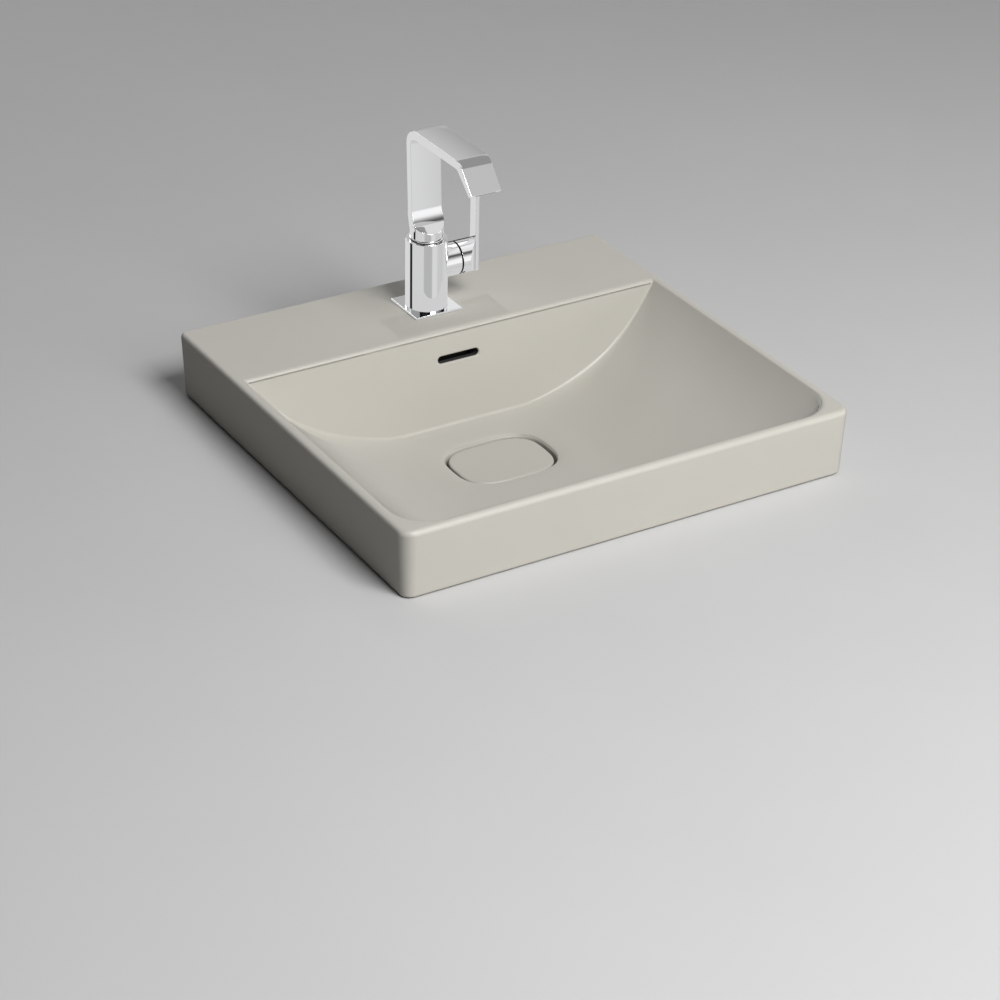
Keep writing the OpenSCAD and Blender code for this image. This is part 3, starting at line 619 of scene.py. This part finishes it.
def shadow_gap(ob, inside):
    """Gives the faces deep in a joint a dull, near-black metal: painted shade in the joint."""
    ob.data.materials.append(M_PAINTED_GAP_SHADE)
    for p in ob.data.polygons:
        if inside(p.center, p.normal):
            p.material_index = len(ob.data.materials) - 1


def build_body():
    ob = tap_cyl("tap_body_chrome", BR, PLATE_Z1, BODY_TOP, seg=160)
    combine(ob, [("UNION", bar_cyl("barrel", BAR_R, 0, BAR_END)), ("UNION", tap_cyl("spigot", 16, 60, 80))])
    combine(ob, [("DIFFERENCE", tap_cyl("socket", 13.2, 134, 160)), ("DIFFERENCE", tap_cyl("way", 5.5, 118, 138)),
                 ("DIFFERENCE", bar_cyl("chamber", 14.2, -10, 60)),
                 ("DIFFERENCE", tap_cyl("inlet_l", 5.1, 50, 72, -7.5, -4.5, 48)), ("DIFFERENCE", tap_cyl("inlet_r", 5.1, 50, 72, 7.5, -4.5, 48)),
                 ("DIFFERENCE", tap_cyl("up_l", 3, 70, 110, -7.5, -4.5, 32)), ("DIFFERENCE", tap_cyl("up_r", 3, 70, 110, 7.5, -4.5, 32)),
                 ("DIFFERENCE", tap_cyl("stud", 4, 50, 76, 0, 9.5, 48)),
                 ("DIFFERENCE", cylinder("screw", 2.04, TAP_Y + 11, TAP_Y + 31, (0, 142.6), 40, "y", mats=TM))])
    tidy(ob)
    bevel(ob, 0.45, 3)
    # the barrel's end face in the seam to the handle cap gets the near-black metal: painted shade in the joint
    shadow_gap(ob, lambda c, n: n.x > 0.7 and (BAR_END - 0.3) * MM < c.x)
    shade(ob, 45)
    return ob


def build_plate():
    h = 27.25
    y = TAP_Y - 0.7
    ob = boxed("base_plate_chrome", (-h, y - h, PLATE_Z0), (h, y + h, PLATE_Z1), TM)
    combine(ob, [("DIFFERENCE", tap_cyl("hole", 16.3, 60, 90))])
    bevel(ob, 0.55, 4)
    shade(ob, 45)
    return ob


def arc(cx, cy, r, a0, a1, n):
    return [(cx + r * math.cos(rad(mix(a0, a1, k / n))), cy + r * math.sin(rad(mix(a0, a1, k / n)))) for k in range(n + 1)]


def build_spout():
    R, leg_t, lean = 17.5, 9.0, 0.047
    br, ba, by, by0 = 18.0, 53.5, 80 - 166.5, -6.1
    arm_in, mz = SPOUT_TOP - ARM_T, SPOUT_TOP - br

    def leg_back(z):
        return by0 + br - lean * (mz - z)

    sz = FOOT_Z + 33
    sy = leg_back(sz) - leg_t
    # leg: round foot, scooped front and back, flat leaning faces
    leg = [(-20, FOOT_Z), (20, FOOT_Z), (20, FOOT_Z + 15), (17.4, FOOT_Z + 16.3), (15, FOOT_Z + 18), (13, FOOT_Z + 19.8), (11.2, FOOT_Z + 22),
           (9.9, FOOT_Z + 24.5), (leg_back(FOOT_Z + 27) + 0.6, FOOT_Z + 27), (leg_back(FOOT_Z + 30) + 0.15, FOOT_Z + 30), (leg_back(FOOT_Z + 34), FOOT_Z + 34)]
    leg += [(leg_back(z), z) for z in (195, 212, 230)] + [(leg_back(mz), mz), (leg_back(mz) - leg_t, mz)] + [(leg_back(z) - leg_t, z) for z in (235, 215, 195)]
    leg += arc(sy - 26.4, sz, 26.4, 0, -42, 24)
    leg += [(sy - 8.4, FOOT_Z + 14.1), (-20, FOOT_Z + 7.6)]
    # arm with its bends and nozzle
    n1 = (48.2 - 166.5, SPOUT_TOP - 27.2)
    n2 = (n1[0] + 4.9, SPOUT_TOP - 30.7)
    arm = arc(by0, mz, br, 0, 90, 24)
    arm += [(mix(by0, by, t), SPOUT_TOP) for t in (0.25, 0.5, 0.75)]
    arm += [(by - br * math.sin(rad(a)), SPOUT_TOP - br * (1 - math.cos(rad(a)))) for a in [ba * k / 20 for k in range(21)]]
    last = arm[-1]
    arm += [(mix(last[0], n1[0], t), mix(last[1], n1[1], t)) for t in (0.33, 0.66)] + [n1, n2]
    ri = br - ARM_T
    inner = [(by - ri * math.sin(rad(a)), SPOUT_TOP - br + ri * math.cos(rad(a))) for a in [ba * (1 - k / 12) for k in range(13)]]
    arm += [(mix(n2[0], inner[0][0], 0.5), mix(n2[1], inner[0][1], 0.5))] + inner
    arm += [(mix(by, by0, t), arm_in) for t in (0.25, 0.5, 0.75)]
    for k in range(15):
        a = 90 * (1 - k / 14)
        arm.append((by0 + (br - leg_t) * math.cos(rad(a)), mz + (br - mix(leg_t, ARM_T, a / 90)) * math.sin(rad(a))))
    arm += [(leg_back(mz - 4) - leg_t, mz - 4), (leg_back(mz - 4), mz - 4)]

    def crown(u):
        return 0.26 * u * u

    a_leg = prism("leg", [(TAP_Y + p[0], p[1]) for p in leg], "x", -R, R, TM, 20, crown)
    c_leg = turned("c_leg", [(R, 140), (R, FOOT_Z + 9), (R + 18, FOOT_Z + 159)], (0, TAP_Y), 180, mats=TM)
    combine(a_leg, [("INTERSECT", c_leg)])
    a_arm = prism("spout_chrome", [(TAP_Y + p[0], p[1]) for p in arm], "x", -R, R, TM, 20, crown)
    combine(a_arm, [("UNION", a_leg), ("UNION", tap_cyl("spigot", 12, 134.6, 150.5, seg=96))])
    # the water slit in the end face
    em, ee, ed = (48.2 - 166.5 + 2.45, SPOUT_TOP - 28.95), (0.814, -0.581), (-0.7, -0.714)
    band = [(em[0] + u * ee[0] + w * ed[0], em[1] + u * ee[1] + w * ed[1]) for u, w in ((-1.5, 2), (1.5, 2), (1.5, -20), (-1.5, -20))]
    slit = prism("slit", [(TAP_Y + p[0], p[1]) for p in band], "x", -11, 11, TM)
    combine(a_arm, [("DIFFERENCE", slit), ("DIFFERENCE", tap_cyl("bore", 6, 130, 156, seg=48))])
    tidy(a_arm)
    bevel(a_arm, 0.4, 3, 30)
    shade(a_arm, 35)
    return a_arm


def build_handle():
    ob = bar_cyl("handle_cap_chrome", BAR_R, BAR_END + SEAM, BAR_X, 160)
    e = BAR_X
    out = [(30, -19), (e - 13, -19), (e, -6), (e + 4, -6), (e + 4, 6), (e, 6), (e - 13, 19), (30, 19)]
    cutter = prism("mitre", [(p[0], TAP_Y + p[1]) for p in out], "z", 80, 150, TM)
    combine(ob, [("INTERSECT", cutter)])
    hole = cylinder("hole", 1.6, 0, 20, (0, 0), 40, mats=TM)
    hole.matrix_world = Matrix.Translation((37.1 * MM, TAP_Y * MM, AXIS_Z * MM)) @ Matrix.Rotation(rad(134), 4, "X")
    bpy.context.view_layer.update()
    combine(ob, [("DIFFERENCE", bar_cyl("bore", 4.02, 30, 50.2, 64)), ("DIFFERENCE", bar_cyl("relief", 6, 30, 38.5, 64)), ("DIFFERENCE", hole)])
    tidy(ob)
    bevel(ob, 0.35, 3)
    at, way = Vector((37.1 * MM, TAP_Y * MM, AXIS_Z * MM)), Vector((0, -math.sin(rad(134)), math.cos(rad(134))))

    def in_hole(c):
        v = c - at
        t = v.dot(way)
        return t > 5 * MM and (v - way * t).length < 1.72 * MM

    # the cap's end face in the seam and the walls of the screw hole get the near-black metal: painted shade
    shadow_gap(ob, lambda c, n: (n.x < -0.7 and c.x < (BAR_END + SEAM + 0.3) * MM) or in_hole(c))
    shade(ob, 40)
    bar = boxed("lever_bar_chrome", (e, TAP_Y - 6, AXIS_Z - BAR_R), (e + 4, TAP_Y + 6, 200), TM)
    bevel(bar, 0.45, 4)
    shade(bar, 45)
    return ob, bar


def put(ob, body, slot, *stands_for):
    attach(ob, body)
    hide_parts(*stands_for)
    return ob


put(build_basin(), "root", "ceramic", "basin")
put(build_cover(), "cover", "ceramic", "waste_cover")
put(build_body(), "root", "chrome", "tap_body")
put(build_plate(), "root", "chrome", "base_plate")
put(build_spout(), "spout", "chrome", "spout")
cap, bar = build_handle()
put(cap, "handle", "chrome", "handle_cap")
put(bar, "handle", "chrome", "lever_bar")

# ---------------------------------------------------------------- CAD nodes that stay
KEPT = {
    "rim_seal": M_RUBBER, "waste_body": M_CHROME_DULL, "flange_seal": M_RUBBER, "under_seal": M_RUBBER, "slip_washer": M_WHITE,
    "back_nut": M_CHROME_DULL, "plunger_guide": M_WHITE, "click_sleeve": M_GREY, "plunger": M_STEEL, "plunger_spring": M_STEEL,
    "plug_disc": M_STEEL, "plug_seal": M_RUBBER, "cover_carrier": M_STEEL, "cover_pads": M_RUBBER, "base_gasket": M_RUBBER,
    "spout_bush": M_WHITE, "spout_o_rings": M_RUBBER, "spout_screw": M_STEEL, "outlet_insert": M_GREY, "cartridge": M_GREY,
    # handle_screw takes the near-black joint metal: painted shade in its hole
    "cartridge_nut": M_BRASS, "spindle": M_BRASS, "handle_screw": M_PAINTED_GAP_SHADE, "fixing_stud": M_STEEL, "horseshoe_gasket": M_RUBBER,
    "horseshoe_plate": M_STEEL, "fixing_nut": M_BRASS}
for name, m in KEPT.items():
    o = nodes[name]
    for s in o.material_slots:
        s.material = m
    if not o.material_slots:
        o.data.materials.append(m)


# ---------------------------------------------------------------- floor
def build_floor():
    m, nt, b, co = new_mat("pale_floor")
    f = ranged(nt, noise(nt, co, 3.0, 4.0, 0.6), 0, 1)
    nt.links.new(two_tone(nt, f, (0.575, 0.575, 0.575), (0.59, 0.59, 0.59)), b.inputs["Base Color"])
    nt.links.new(ranged(nt, noise(nt, co, 40.0, 4.0, 0.6), 0.62, 0.74), b.inputs["Roughness"])
    add_bump(nt, b, noise(nt, co, 300.0, 3.0, 0.6), 0.08, 0.0004)
    n = 16

    def rr(xh, yh, r, z):
        p = []
        for q, (sx, sy) in enumerate(((1, 1), (-1, 1), (-1, -1), (1, -1))):
            for j in range(n + 1):
                a = rad(90 * q + 90 * j / n)
                p.append((sx * (xh - r) + r * math.cos(a), sy * (yh - r) + r * math.sin(a), z))
        return p

    loops = [rr(235, 219, 20, -30), rr(235, 219, 20, -0.6), rr(235.6, 219.6, 20, 0), rr(300, 284, 24, 0), rr(6000, 6000, 600, 0)]
    ob = loft("floor", loops, [m], caps=False)
    for p in ob.data.polygons:
        p.use_smooth = False
    if ob.data.polygons[3 * 4 * (n + 1)].normal.z < 0:
        ob.data.flip_normals()
    return ob


build_floor()

# ---------------------------------------------------------------- light
def tone(t, gain=1.0):
    v = t / 255
    return gain * (v / 12.92 if v <= 0.04045 else ((v + 0.055) / 1.055) ** 2.4)


def area(name, pos, target, size, power, size_y=None):
    l = bpy.data.lights.new(name, "AREA")
    l.energy, l.size = power, size
    if size_y:
        l.shape, l.size_y = "RECTANGLE", size_y
    o = bpy.data.objects.new(name, l)
    bpy.context.scene.collection.objects.link(o)
    o.location = pos
    o.rotation_mode = "QUATERNION"
    o.rotation_quaternion = (Vector(target) - Vector(pos)).to_track_quat("-Z", "Y")
    return o


def soft_box(name, turn, lift, power, size=1.3, far=3.0):
    """A square soft box: turn in degrees from straight in front towards the right, lift above the floor."""
    a, e = rad(turn), rad(lift)
    d = Vector((math.sin(a) * math.cos(e), -math.cos(a) * math.cos(e), math.sin(e)))
    c = Vector((0, 0, 0.05))
    return area(name, tuple(c + d * far), tuple(c), size, power)


soft_box("key_high", 8, 52, 76)
soft_box("key_mid", 8, 28, 19)
soft_box("key_low", 8, 8, 12)
soft_box("side_right", 60, 8, 13)
soft_box("rim_back", 180, 28, 9.3)
soft_box("rim_right", 140, 52, 3.8)
soft_box("top", 0, 88, 2.4)

# the shine of the back wall on the glaze in front of it and beside it
clay = bpy.data.collections.new("clay")
for n in ("basin_ceramic", "waste_cover_ceramic"):
    clay.objects.link(bpy.data.objects[n])
for n, turn, lift, power, size in (("wall_shine_low", 141, 13, 15, 2.6), ("wall_shine_high", 210, 33, 13, 1.7), ("wall_shine_far", 174, 10, 3, 0.8)):
    l = soft_box(n, turn, lift, power, size)
    l.visible_diffuse = False
    l.data.use_shadow = False
    l.light_linking.receiver_collection = clay

world = bpy.data.worlds.new("studio")
bpy.context.scene.world = world
world.use_nodes = True
wn = world.node_tree
wn.nodes.clear()
w_out = wn.nodes.new("ShaderNodeOutputWorld")
w_bg = wn.nodes.new("ShaderNodeBackground")
w_path = wn.nodes.new("ShaderNodeLightPath")
w_mix = wn.nodes.new("ShaderNodeMapRange")
w_mix.inputs["To Min"].default_value, w_mix.inputs["To Max"].default_value = 0.02, 0.45
w_bg.inputs["Color"].default_value = (1, 1, 1, 1)
wn.links.new(w_path.outputs["Is Camera Ray"], w_mix.inputs["Value"])
wn.links.new(w_mix.outputs["Result"], w_bg.inputs["Strength"])
wn.links.new(w_bg.outputs["Background"], w_out.inputs["Surface"])


def ramp(nt, fac, stops, gain):
    """A grey ramp over 0..360 degrees. stops: (degrees, tone) with straight lines between them."""
    r = nt.nodes.new("ShaderNodeValToRGB")
    el = r.color_ramp.elements
    while len(el) > 1:
        el.remove(el[-1])
    first = True
    for deg, t in stops:
        e = el[0] if first else el.new(deg / 360)
        first = False
        e.position = deg / 360
        v = tone(t, gain)
        e.color = (v, v, v, 1)
    nt.links.new(fac, r.inputs["Fac"])
    return r.outputs["Color"]


def math_node(nt, op, *args, clamp=False):
    n = nt.nodes.new("ShaderNodeMath")
    n.operation, n.use_clamp = op, clamp
    for i, x in enumerate(args):
        if hasattr(x, "node"):
            nt.links.new(x, n.inputs[i])
        else:
            n.inputs[i].default_value = x
    return n.outputs[0]


def turn_of(nt, y, x):
    """The direction's angle as a share of a full turn, 0 to 1."""
    a = math_node(nt, "ARCTAN2", y, x)
    return math_node(nt, "WRAP", math_node(nt, "DIVIDE", a, 2 * math.pi), 1.0, 0.0)


def mask(nt, fac, parts):
    """1 where the angle, a share of a full turn, lies in one of the parts given in degrees."""
    total = None
    for a, b in parts:
        m = math_node(nt, "MULTIPLY", math_node(nt, "GREATER_THAN", fac, a / 360 - 1e-4), math_node(nt, "LESS_THAN", fac, b / 360 + 1e-4))
        total = m if total is None else math_node(nt, "MAXIMUM", total, m)
    return total


def glow_only(o, receivers):
    """A stage surface that only mirrors see."""
    o.visible_camera = o.visible_diffuse = o.visible_shadow = o.visible_transmission = o.visible_volume_scatter = False
    o.visible_glossy = True
    o.light_linking.receiver_collection = receivers


def emitter(name, build):
    m = bpy.data.materials.new(name)
    m.use_nodes = True
    nt = m.node_tree
    nt.nodes.clear()
    out = nt.nodes.new("ShaderNodeOutputMaterial")
    e = nt.nodes.new("ShaderNodeEmission")
    co = nt.nodes.new("ShaderNodeTexCoord")
    nt.links.new(build(nt, co), e.inputs["Color"])
    nt.links.new(e.outputs["Emission"], out.inputs["Surface"])
    return m


def blend(nt, fac, a, b):
    m = nt.nodes.new("ShaderNodeMix")
    m.data_type = "RGBA"
    for x, k in ((a, 6), (b, 7)):
        if hasattr(x, "node"):
            nt.links.new(x, m.inputs[k])
        else:
            v = tone(x, GAIN)
            m.inputs[k].default_value = (v, v, v, 1)
    nt.links.new(fac, m.inputs[0])
    return m.outputs[2]


GAIN = 1.12
mirrors = bpy.data.collections.new("mirrors")
MATT = {"basin_ceramic", "waste_cover_ceramic", "floor", "basin", "waste_cover"}
for o in bpy.data.objects:
    if o.type == "MESH" and o.name not in MATT:
        mirrors.objects.link(o)
for n in ["basin_ceramic", "waste_cover_ceramic", "floor", "base_plate_chrome"] + [k for k in KEPT if k not in ("outlet_insert", "handle_screw")]:
    (nodes.get(n) or bpy.data.objects[n]).visible_glossy = False


def studio(nt, co):
    nrm = nt.nodes.new("ShaderNodeVectorMath")
    nrm.operation = "NORMALIZE"
    nt.links.new(co.outputs["Object"], nrm.inputs[0])
    sep = nt.nodes.new("ShaderNodeSeparateXYZ")
    nt.links.new(nrm.outputs[0], sep.inputs[0])
    x, y, z = sep.outputs
    around = ramp(nt, turn_of(nt, y, x), [
        (0, 205), (56, 205), (58, 20), (68, 20), (70, 213), (140, 213), (142, 25), (156, 25), (160, 205), (224, 205), (229, 177), (268, 177),
        (274, 211), (296, 211), (304, 198), (330, 194), (350, 205)], GAIN)
    over = ramp(nt, turn_of(nt, z, y), [
        (0, 30), (7, 30), (9, 150), (20, 168), (28, 182), (34, 212), (44, 222), (81, 228), (97, 238), (111, 228), (125, 224), (131, 150), (138, 72), (145, 108), (151, 152),
        (158, 196), (164, 229), (171, 242), (184, 245), (194, 241), (199, 214), (206, 205), (290, 205), (324, 205), (326, 20)], GAIN)
    low = nt.nodes.new("ShaderNodeMapRange")
    low.inputs["From Min"].default_value, low.inputs["From Max"].default_value = -0.29, -0.27
    nt.links.new(z, low.inputs["Value"])
    both = blend(nt, low.outputs["Result"], around, over)
    # flags: grey at eye level on both sides, two dark bands above them, then a dark hood high on the left and in front
    bands = [(0.28, 0.415, [(165, 226), (308, 360), (0, 11)]), (0.415, 0.5, [(205, 282), (330, 356)])]
    level = math_node(nt, "MULTIPLY", math_node(nt, "MULTIPLY", math_node(nt, "GREATER_THAN", z, -0.26), math_node(nt, "LESS_THAN", z, 0.28)),
                      mask(nt, turn_of(nt, y, x), [(150, 230), (308.5, 360), (0, 50)]))
    dark = None
    for z0, z1, parts in bands:
        here = math_node(nt, "MULTIPLY", math_node(nt, "GREATER_THAN", z, z0), math_node(nt, "LESS_THAN", z, z1))
        m = math_node(nt, "MULTIPLY", here, mask(nt, turn_of(nt, y, x), parts))
        dark = m if dark is None else math_node(nt, "MAXIMUM", dark, m)
    hood = math_node(nt, "MULTIPLY", math_node(nt, "GREATER_THAN", z, 0.5),
                     math_node(nt, "MULTIPLY", math_node(nt, "LESS_THAN", x, 0.35), math_node(nt, "LESS_THAN", y, 0.0)))
    half = math_node(nt, "MULTIPLY", math_node(nt, "GREATER_THAN", z, 0.415),
                     math_node(nt, "MULTIPLY", math_node(nt, "LESS_THAN", z, 0.5), mask(nt, turn_of(nt, y, x), [(150, 205)])))
    return blend(nt, math_node(nt, "MAXIMUM", hood, dark), blend(nt, level, blend(nt, half, both, 155), 112), 20)


def build_dome():
    me = bpy.data.meshes.new("studio_dome")
    bm = bmesh.new()
    bmesh.ops.create_icosphere(bm, subdivisions=5, radius=8.0)
    bm.to_mesh(me)
    bm.free()
    me.materials.append(emitter("studio_glow", studio))
    o = bpy.data.objects.new("studio_dome", me)
    bpy.context.scene.collection.objects.link(o)
    o.location = (0, 0.1665, 0.2)
    glow_only(o, mirrors)


def overhead(nt, co):
    """Tones of the overhead card, from its front end to its back end and across it."""
    sep = nt.nodes.new("ShaderNodeSeparateXYZ")
    nt.links.new(co.outputs["Object"], sep.inputs[0])
    across = nt.nodes.new("ShaderNodeMapRange")
    across.inputs["From Min"].default_value, across.inputs["From Max"].default_value = 0.076, 0.138
    nt.links.new(sep.outputs[0], across.inputs["Value"])
    top = blend(nt, across.outputs["Result"], 188, 160)
    front = nt.nodes.new("ShaderNodeMapRange")
    front.inputs["From Min"].default_value, front.inputs["From Max"].default_value = 0.014, 0.024
    nt.links.new(sep.outputs[1], front.inputs["Value"])
    back = nt.nodes.new("ShaderNodeMapRange")
    back.inputs["From Min"].default_value, back.inputs["From Max"].default_value = 0.166, 0.192
    nt.links.new(sep.outputs[1], back.inputs["Value"])
    middle = blend(nt, math_node(nt, "GREATER_THAN", sep.outputs[0], 0.0865), 142, 214)
    return blend(nt, back.outputs["Result"], blend(nt, front.outputs["Result"], 186, middle), top)


def left_right(split, a, b):
    """Tone a left of the split, tone b right of it."""
    def tones(nt, co):
        sep = nt.nodes.new("ShaderNodeSeparateXYZ")
        nt.links.new(co.outputs["Object"], sep.inputs[0])
        return blend(nt, math_node(nt, "GREATER_THAN", sep.outputs[0], split), a, b)
    return tones


def build_card(name, lo, hi, z, tones):
    if isinstance(z, tuple):
        pts = [(lo[0], lo[1], z[0]), (hi[0], hi[1], z[0]), (hi[0], hi[1], z[1]), (lo[0], lo[1], z[1])]
    else:
        pts = [(lo[0], lo[1], z), (hi[0], lo[1], z), (hi[0], hi[1], z), (lo[0], hi[1], z)]
    o = make(name, pts, [(0, 1, 2, 3)], [emitter(name + "_glow", tones)], smooth=False)
    glow_only(o, mirrors)


build_dome()
build_card("overhead_card", (25, -120), (150, 352), 360, overhead)
build_card("far_card", (250, 628), (345, 730), 360, left_right(0.288, 170, 224))
build_card("back_card", (-20, 300), (160, 300), (228, 305), left_right(0, 168, 168))
build_card("front_card", (-60, 112), (70, 160), 73.2, left_right(0, 204, 204))

# ---------------------------------------------------------------- camera
az, el, roll = rad(31.35714), rad(29.76984), rad(1.15115)
fwd = Vector((math.sin(az) * math.cos(el), math.cos(az) * math.cos(el), -math.sin(el)))
right = fwd.cross(Vector((0, 0, 1))).normalized()
down = fwd.cross(right)
r0 = right * math.cos(roll) - down * math.sin(roll)
r1 = right * math.sin(roll) + down * math.cos(roll)
cam_data = bpy.data.cameras.new("camera")
cam_data.sensor_width, cam_data.lens = 36.0, 107.47
cam_data.clip_start, cam_data.clip_end = 0.05, 50
cam = bpy.data.objects.new("camera", cam_data)
bpy.context.scene.collection.objects.link(cam)
up = -r1
cam.matrix_world = Matrix(((r0.x, up.x, -fwd.x, -1.378751), (r0.y, up.y, -fwd.y, -2.250550), (r0.z, up.z, -fwd.z, 1.432032), (0, 0, 0, 1)))
bpy.context.scene.camera = cam
bpy.context.scene.view_settings.view_transform = "Standard"
bpy.context.scene.view_settings.look = "None"
